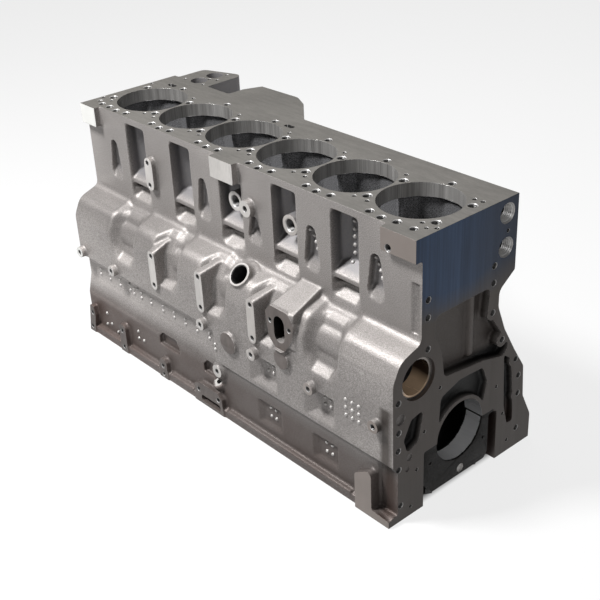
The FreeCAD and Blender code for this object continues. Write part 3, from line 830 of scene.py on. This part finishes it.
def is_soft(p):
    """True in the valleys, away from their webs, and on the edge round the front corner."""
    x, y, z = p
    if not (BULGE_OUT < y < BULGE_IN and VALLEY_FOOT < z < VALLEY_HEAD):
        return x > CORNER_X and y < -84 and 175 < z < 225
    if any(low < x < high for low, high in WEB_PLACES):
        return False
    return any(abs(x - middle) < HALF_WIDTH + 8 for middle in VALLEYS)


def deepened(p):
    """A point of a valley moved towards the tunnel, most of all along the valley's middle."""
    x, y, z = p
    middle = min(VALLEYS, key=lambda m: abs(x - m))
    clear = min(max(low - x, x - high) for low, high in WEB_PLACES)
    depth = DEPTH * step(HALF_WIDTH - abs(x - middle), 0, 13) * step(clear, 0, 12)
    depth *= step(z, VALLEY_FOOT + 4, VALLEY_FOOT + 37)
    depth *= step(-z, -VALLEY_HEAD, 20 - VALLEY_HEAD)
    inward = Vector((0, CAM_Y - y, CAM_Z - z))
    depth = min(depth, max(0.0, inward.length - TUNNEL_WALL))
    return (Vector(p) + depth * inward.normalized()) * MM


moved = [v for v in casting.data.vertices if v.co.x / MM < CORNER_X and is_soft(v.co / MM)]
for vertex in moved:
    vertex.co = deepened(vertex.co / MM)
print(len(moved), "points in the valleys")

# %% Smooth and thin the casting
settle(casting, "SMOOTH", factor=0.5, iterations=ROUNDS)
soft = casting.vertex_groups.new(name="soft")
soft.add([v.index for v in casting.data.vertices if is_soft(v.co / MM)], 1.0, "REPLACE")
settle(casting, "SMOOTH", factor=0.5, iterations=SOFT_ROUNDS, vertex_group="soft")
casting.vertex_groups.clear()
settle(casting, "DECIMATE", ratio=TARGET / (2 * len(casting.data.polygons)))
set_slots(casting, CAST_IRON)

# %% [markdown]
# ## Milling and boring
# Every machined face is cut by a plain form: a box for a face mill, a cylinder for a boring bar.
# The forms reach well past the casting, so no two faces lie on each other by chance. The pads
# of the side get two finishes, because some of them are bright and some dark.


# %% Mill and bore to size
def column(axis, centre, start, end, radius, steps=64):
    """Corners and faces of a cylinder along X or Z, in mm."""
    points, faces = [], []
    for along in (start, end):
        for k in range(steps):
            t = 2 * math.pi * k / steps
            u, v = centre[0] + radius * math.cos(t), centre[1] + radius * math.sin(t)
            points.append(Vector((along, u, v) if axis == "x" else (u, v, along)) * MM)
    for k in range(steps):
        n = (k + 1) % steps
        faces.append((k, n, steps + n, steps + k))
    faces.append(tuple(reversed(range(steps))))
    faces.append(tuple(range(steps, 2 * steps)))
    return points, faces


def machine(obj, name, parts, finish):
    """Cuts boxes or columns away and leaves their finish on the cut faces."""
    combine(obj, solid(name, parts, finish), "DIFFERENCE")


# limits outside the casting, for the cutters
LONG, NEAR, FAR, UNDER, OVER, BAR_END = 460, -200, 260, -150, 400, 450
cam = (CAM_Y, CAM_Z)
MAIN_BORE = column("x", (0, 0), -BAR_END, BAR_END, MAIN_RADIUS, 96)
cuts = (
    ("deck", [slab((-LONG, NEAR, DECK), (LONG, FAR, OVER))], DECK_FACE),
    ("front_end", [slab((FRONT, NEAR, UNDER), (LONG + 20, FAR, OVER))], END_FACE),
    ("rear_end", [slab((-LONG - 20, NEAR, UNDER), (-FRONT, FAR, OVER))], REAR_FACE),
    ("rail", [slab((-LONG, NEAR, UNDER), (LONG, FAR, RAIL))], REAR_FACE),
    ("seats", [column("z", (x, 0), SEAT_Z, 380, SEAT_RADIUS) for x in BORES], BORE_STEEL),
    ("lands", [column("z", (x, 0), 60, 256, LAND_RADIUS) for x in BORES], BORE_STEEL),
    ("main_bore", [MAIN_BORE], CRANK_STEEL),
    ("cam_tunnel", [column("x", cam, -BAR_END, BAR_END, CAM_RADIUS)], CRANK_STEEL),
    ("cam_seat", [column("x", cam, BUSH_SEAT_X, BAR_END, BUSH_SEAT_RADIUS)], CRANK_STEEL),
    ("cam_step", [column("x", cam, BUSH_STEP_X, BAR_END, BUSH_STEP_RADIUS)], CRANK_STEEL),
)
for name, parts, finish in cuts:
    machine(casting, name, parts, finish)

# %% Face the pads and bosses
columns = ((-163.5, 80, 167), (-24.5, 88, 177), (113.5, 86, 177))
bright = [(x - 16, x + 16, z0, z1, 153) for x, z0, z1 in columns]
bright += [(x - 13, x + 13, z - 13, z + 13, -RING_Y) for x, z in ring_bosses]
bright += [(-10, 19, -27, 1, 152), (-236, -206, 238, 312, 100), (36, 69, 277, 309, 102)]
bright += [(x - 19, x + 19, 268, 306, 84) for x in (5.5, 141.5)]
bright += [(340, 440, -120, -8, 158)]
bright += [(x0, x1, 320, 380, 103) for x0, x1 in ((-440, -370), (-40, 35), (350, 440))]
dark = [(146, 224, 110, 185, 153), (24, 67, 40, 84, 154.2), (165, 204, 72, 109, 154.2)]
dark += [(-440, -390, -120, -36, 154), (-315, -281, -120, -36, 154)]
dark += [(-184, -146, -120, -56, 154), (-72, 24, -120, -54, 154)]
FACED = [(PAD_FACE, box) for box in bright] + [(DARK_PAD, box) for box in dark]
print(len(bright), "bright and", len(dark), "dark pads")
for finish, boxes in ((PAD_FACE, bright), (DARK_PAD, dark)):
    parts = [slab((x0, NEAR + 10, z0), (x1, -depth, z1)) for x0, x1, z0, z1, depth in boxes]
    machine(casting, "facings", parts, finish)

# %% [markdown]
# ## Ports, slots, holes and threads
# The large oblique port and the small sloped one are faced and bored along their own axes. The
# drills are turned forms set on the lists of holes. A thread is too fine to cut, so its ridges
# are meshes of their own that stand on the wall of the hole.

# %% Face and bore the oblique ports
def sink(obj, name, form, spots, finish):
    """Cuts a turned form away at every spot and leaves its finish on the cut faces."""
    tool = repeat(name, form, spots, finish)
    set_slots(tool, finish)
    combine(obj, tool, "DIFFERENCE")


SLOPE_AXIS, SLOPE_FACE = Vector((0, -0.6, 0.8)), Vector((-3.5, -143.6, -41.2))
FACER = turned("port_disc_form", [(0, 0), (1, 0), (1, 0.4), (0, 0.4)], 40)
port_wall = [(0, -2.2), (1, -2.2), (1, -0.1), (1.1, 0), (1.1, 0.3), (0, 0.3)]
BORER = turned("port_bore_form", port_wall, 40)
faces = [(PORT_FACE, PORT_AXIS, 27), (SLOPE_FACE, SLOPE_AXIS, 9)]
holes = [(PORT_FACE, PORT_AXIS, 15.5), (SLOPE_FACE, SLOPE_AXIS, 4.4)]
sink(casting, "port_faces", FACER, faces, PAD_FACE)
sink(casting, "port_holes", BORER, holes, HOLE_SHADE_STEEL)


# %% Cut the coolant slots
def rounded_slot(x0, y0, x1, y1, radius, low, high, steps=10):
    """Corners and faces of an upright slot with round ends, in mm."""
    turn = math.atan2(y1 - y0, x1 - x0)
    outline = []
    for x, y, start in ((x1, y1, turn - math.pi / 2), (x0, y0, turn + math.pi / 2)):
        angles = [start + math.pi * k / steps for k in range(steps + 1)]
        outline += [(x + radius * math.cos(t), y + radius * math.sin(t)) for t in angles]
    count = len(outline)
    points = [Vector((x, y, z)) * MM for z in (low, high) for x, y in outline]
    sides = [(k, (k + 1) % count, count + (k + 1) % count, count + k) for k in range(count)]
    return points, sides + [tuple(reversed(range(count))), tuple(range(count, 2 * count))]


slots = [rounded_slot(*ends, 5, DECK - 16, DECK + 5) for ends in coolant_slots]
machine(casting, "coolant_slots", slots, HOLE_SHADE_STEEL)

# %% Drill the holes
sink(casting, "drills", DRILL, drilled, HOLE_SHADE_STEEL)
sink(casting, "opened_drills", DRILL, opened, HOLE_SHADE_STEEL)
sink(casting, "spots", SPOT, spotted, CAST_IRON)

# %% Cut the threads
tapped = [spot for spot in drilled + opened if 3.9 < spot[2] < 12]
ports = [spot for spot in opened if spot[2] > 12]
threaded = (
    ("bolt_threads", THREAD, tapped, THREAD_SHADE_STEEL),
    ("port_threads", PORT_THREAD, ports, PORT_LIGHT_STEEL),
)
for label, form, spots, finish in threaded:
    threads = repeat(label, form, spots, finish)
    smooth_by_angle(threads, 20)
    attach(threads, "root")
    print(label, len(spots), "holes,", len(threads.data.polygons), "faces")

# %% [markdown]
# ## Which faces are milled
# A face takes a finish from where it lies and which way it looks. The deck is level at the top,
# the ends stand at the two extremes, and the bores lie at a known distance from their axes.

# %% Sort the faces
CAM_SURFACES = (
    (BUSH_STEP_X - 0.5, BUSH_STEP_RADIUS + 0.4),
    (BUSH_SEAT_X - 0.5, BUSH_SEAT_RADIUS + 0.3),
    (-LONG, CAM_RADIUS + 0.3),
)
PORT_RIMS = ((PORT_FACE, PORT_AXIS, 24), (SLOPE_FACE, SLOPE_AXIS, 9.5))


def flat_finish(x, y, z, normal):
    """The finish of a face on the deck, the ends, the rail or a pad, or None."""
    if normal.z > 0.99 and z > DECK - 0.3:
        return DECK_FACE
    if normal.x > 0.99 and x > FRONT - 0.3:
        return END_FACE
    if normal.x < -0.99 and x < 0.3 - FRONT:
        return REAR_FACE
    if normal.z < -0.99 and z < RAIL + 0.3:
        return REAR_FACE
    if normal.y < -0.99:
        for finish, (x0, x1, z0, z1, depth) in FACED:
            if x0 < x < x1 and z0 < z < z1 and abs(y + depth) < 0.5:
                return finish
    return None


def finish_of(centre, normal):
    x, y, z = centre / MM
    flat = flat_finish(x, y, z, normal)
    if flat:
        return flat
    # the deep hollow in the largest dark pad takes the caps' near-black colour as painted shade
    if 168 < x < 202 and 125 < z < 175 and -152.8 < y < -128:
        return CAP_IRON_AND_HOLLOW_SHADE
    for rim, axis, width in PORT_RIMS:
        if normal.dot(axis) > 0.995 and (centre / MM - rim).length < width:
            return PAD_FACE
    if abs(math.hypot(y, z) - MAIN_RADIUS) < 0.4:
        return CRANK_STEEL
    reach = math.hypot(y - CAM_Y, z - CAM_Z)
    tunnel = next(radius for start, radius in CAM_SURFACES if x > start)
    # the tunnel wall takes the holes' painted shade
    if abs(normal.x) < 0.2 and reach < tunnel:
        return HOLE_SHADE_STEEL if x < BUSH_SEAT_X - 0.5 else DARK_PAD
    bore = min(BORES, key=lambda b: abs(x - b))
    reach = math.hypot(x - bore, y)
    on_seat = z > SEAT_Z - 1 and reach < SEAT_RADIUS + 0.5
    on_land = LAND_LOW < z < LAND_HIGH and reach < LAND_RADIUS + 0.4
    if abs(normal.z) < 0.1 and (on_seat or on_land):
        return BORE_STEEL
    return CAST_IRON


def is_countersink(place, normal):
    """True on the narrow cone round a hole's mouth, which is painted light as a glint."""
    if (place - PORT_FACE).length < 40:
        return False
    if place.z > DECK - 2:
        lean = abs(normal.z)
    elif place.x > FRONT - 2.5:
        lean = abs(normal.x)
    else:
        lean = abs(normal.y)
    return 0.6 < lean < 0.8


def sort_faces(obj):
    """Gives every face its finish and counts the faces of each."""
    counts = {}
    for face in obj.data.polygons:
        if face.material_index == SLOT[HOLE_SHADE_STEEL.name]:
            if is_countersink(face.center / MM, face.normal):
                face.material_index = SLOT[CHAMFER_GLINT_STEEL.name]
            continue
        finish = finish_of(face.center, face.normal)
        face.material_index = SLOT[finish.name]
        counts[finish.name] = counts.get(finish.name, 0) + 1
    return counts


print(sort_faces(casting))
smooth_by_angle(casting)
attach(casting, "root")
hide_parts("cylinder_block")

# %% [markdown]
# ## Raised pips
# The pattern shop sets small domes where the foundry checks the wall. They stand in rows along
# the rear band, in grids on the bulge and up the edges of the windows. A ray from the side finds
# the surface under each one, so they sit on slopes and curves as well.

# %% Find the pips' places
skin = BVHTree.FromObject(casting, bpy.context.evaluated_depsgraph_get())


def on_side(x, z):
    """The point of the side at a place, and the way it faces."""
    hit, normal, index, distance = skin.ray_cast(Vector((x, -300, z)) * MM, Vector((0, 1, 0)))
    return tuple(hit / MM), tuple(normal)


pip_places = [(x, z) for x in (326.5, 340.5, 354.5) for z in (82, 68, 54)]
for x in (130.5, 267.5):
    pip_places += [(x + dx, z) for dx in (0, 13) for z in (52, 39, -35, -52)] + [(x + 13, 61)]
pip_places += [(261, z) for z in (325, 311.5, 298.5, 285, 271.5, 258)]
for x in (325, 186.5):
    pip_places += [(x + dx, z) for dx, z in ((0, 294.5), (4, 284.5), (8, 274), (11.5, 263))]
pip_places += [(-76 + dx, z) for dx, z in ((-6, 295), (-2, 285), (2, 275))]
pip_places += [(-344.5 + dx, z) for dx, z in ((-6, 295), (-2, 285))]
band = (-384.5, -351.5, -316.5, -268.5, -244.5, -212.5, -174.5, -139.5, -105.5, -70.5, -34.5, 1.5)
pip_places += [(x, z) for x in band for z in (39, 29.5)]
pip_places += [(-305.5, 51.5), (-281, 56.5), (-283, 45), (-256.5, 44), (-281, 33), (-293, 22.5)]
pip_places += [(-366.5, -48), (-353, -67), (-370.5, -74), (-332, -77)]
pip_places += [(-256, -44), (-256, -59), (-239, -58)]
HIGH_PIP, LOW_PIP = 3.6, 3.1
pip_spots = [(*on_side(x, z), HIGH_PIP if z > 240 else LOW_PIP) for x, z in pip_places]
print(len(pip_spots), "places on the side")

# %% Set the pips
pips = repeat("cast_pips", PIP, pip_spots, PIP_IRON, seed=7)
smooth_by_angle(pips, 60)
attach(pips, "root")
print(len(pip_spots), "pips,", len(pips.data.polygons), "faces")

# %% [markdown]
# ## Bearing caps
# The seven caps are castings too, of a darker iron, and they are bored in line with the block.
# They go through the same steps, with a finer voxel because they are small. The front cap shows
# a bright spot face, two dowel holes and a plain iron front.

# %% Cast and bore the caps
CAP_VOXEL, CAP_ROUNDS, CAP_TARGET = 0.0016, 4, 9000
CAP_FRONT = FRONT - 0.7


def dress_front_cap(cap):
    """Faces the front cap and cuts its spot face and its dowel holes."""
    machine(cap, "cap_face", [slab((CAP_FRONT, -90, -100), (BAR_END, 90, 5))], CAP_IRON_AND_HOLLOW_SHADE)
    sink(cap, "cap_spot", SPOT, [((CAP_FRONT, 4, -76), FORWARD, 7.5)], PIP_IRON)
    dowels = [((CAP_FRONT, y, z), FORWARD, 2.8) for y, z in ((58, -44), (-66, -30))]
    sink(cap, "cap_holes", DRILL, dowels, HOLE_SHADE_STEEL)


for i in range(1, 8):
    cap = merged_copy(f"main_bearing_cap_{i}", f"bearing_cap_{i}")
    settle(cap, "REMESH", mode="VOXEL", voxel_size=CAP_VOXEL, adaptivity=0.0)
    settle(cap, "SMOOTH", factor=0.5, iterations=CAP_ROUNDS)
    settle(cap, "DECIMATE", ratio=CAP_TARGET / (2 * len(cap.data.polygons)))
    set_slots(cap, CAP_IRON_AND_HOLLOW_SHADE)
    machine(cap, "cap_bore", [MAIN_BORE], CRANK_STEEL)
    if i == 7:
        dress_front_cap(cap)
    smooth_by_angle(cap)
    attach(cap, "root")
    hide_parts(f"main_bearing_cap_{i}")

# %% [markdown]
# ## Bush and bolts
# These keep their CAD meshes, which already have the right form, and take their own finishes.

# %% Dress the small parts
for name, finish in (("front_cam_bush", BRONZE_PAINTED_LIGHT), ("main_cap_bolts", BOLT_STEEL)):
    node = nodes[name]
    node.data.materials.clear()
    node.data.materials.append(finish)
    print(name, "takes", finish.name)

# %% [markdown]
# ## Floor, backdrop and light
# The floor and the world show plain white to the camera at a strength of one, while the object
# is lit by soft lamps: a key lamp above the camshaft side, a broad weak one from behind and above,
# and another weak one for the front end. A painted shadow makes the floor dark right under the
# block, so the open crankcase and the main bore stay dark inside.


# %% Floor
def white_floor_with_painted_shadow():
    material, tree, shader, place = new_material("studio_floor")
    shader.inputs["Roughness"].default_value = 0.9
    glow = add(tree, "ShaderNodeEmission", {"Color": (1, 1, 1, 1), "Strength": 1.0})
    rays = tree.nodes.new("ShaderNodeLightPath").outputs
    seen = math_node(tree, "MAXIMUM", rays["Is Camera Ray"], rays["Is Glossy Ray"])
    x, y, z = split(tree, place)
    # painted shadow: inside the block's footprint the floor shows dark to the camera
    along = fade(tree, math_node(tree, "ABSOLUTE", x), 405, 420)
    across = fade(tree, math_node(tree, "ABSOLUTE", y), 140, 150)
    clear = math_node(tree, "MAXIMUM", along, across)
    underside = tree.nodes.new("ShaderNodeNewGeometry").outputs["Backfacing"]
    seen = product(tree, seen, math_node(tree, "MAXIMUM", clear, underside))
    tree.links.new(remap(tree, seen, 0.0, 1.0, 0.05, 0.8), shader.inputs["Base Color"])
    blend = add(tree, "ShaderNodeMixShader", {0: product(tree, seen, 0.8)})
    tree.links.new(shader.outputs[0], blend.inputs[1])
    tree.links.new(glow.outputs[0], blend.inputs[2])
    tree.links.new(blend.outputs[0], tree.nodes["Material Output"].inputs[0])
    return material


FLOOR_SIZE = 9
floor_z = cad_low.z - MM / 2
corners = ((-1, -1), (1, -1), (1, 1), (-1, 1))
floor_mesh = bpy.data.meshes.new("floor")
points = [(x * FLOOR_SIZE, y * FLOOR_SIZE, floor_z) for x, y in corners]
floor_mesh.from_pydata(points, [], [(0, 1, 2, 3)])
floor = bpy.data.objects.new("floor", floor_mesh)
floor_mesh.materials.append(white_floor_with_painted_shadow())
bpy.context.collection.objects.link(floor)

# %% World
AMBIENT = 0.07
world = bpy.data.worlds.new("studio")
bpy.context.scene.world = world
world.use_nodes = True
tree = world.node_tree
rays = tree.nodes.new("ShaderNodeLightPath").outputs
seen = math_node(tree, "MAXIMUM", rays["Is Camera Ray"], rays["Is Transmission Ray"])
strength = math_node(tree, "ADD", AMBIENT, product(tree, seen, 1.0 - AMBIENT))
tree.links.new(strength, tree.nodes["Background"].inputs["Strength"])
tree.nodes["Background"].inputs["Color"].default_value = (1, 1, 1, 1)
print("ambient light:", AMBIENT)


# %% Lamps
def soft_lamp(name, place, size, watts, target=(0, 0, 0.12)):
    """A square lamp aimed at the block."""
    lamp = bpy.data.objects.new(name, bpy.data.lights.new(name, "AREA"))
    lamp.data.size = size
    lamp.data.energy = watts
    lamp.location = place
    lamp.rotation_mode = "QUATERNION"
    lamp.rotation_quaternion = (Vector(target) - Vector(place)).to_track_quat("-Z", "Y")
    bpy.context.collection.objects.link(lamp)


soft_lamp("key", (-0.5, -1.15, 2.05), 0.5, 98)
soft_lamp("overhead", (-0.9, 0.9, 1.9), 1.6, 8)
soft_lamp("front_fill", (2.4, -0.9, 1.3), 1.0, 12)
print("lamps: key, overhead, front fill")
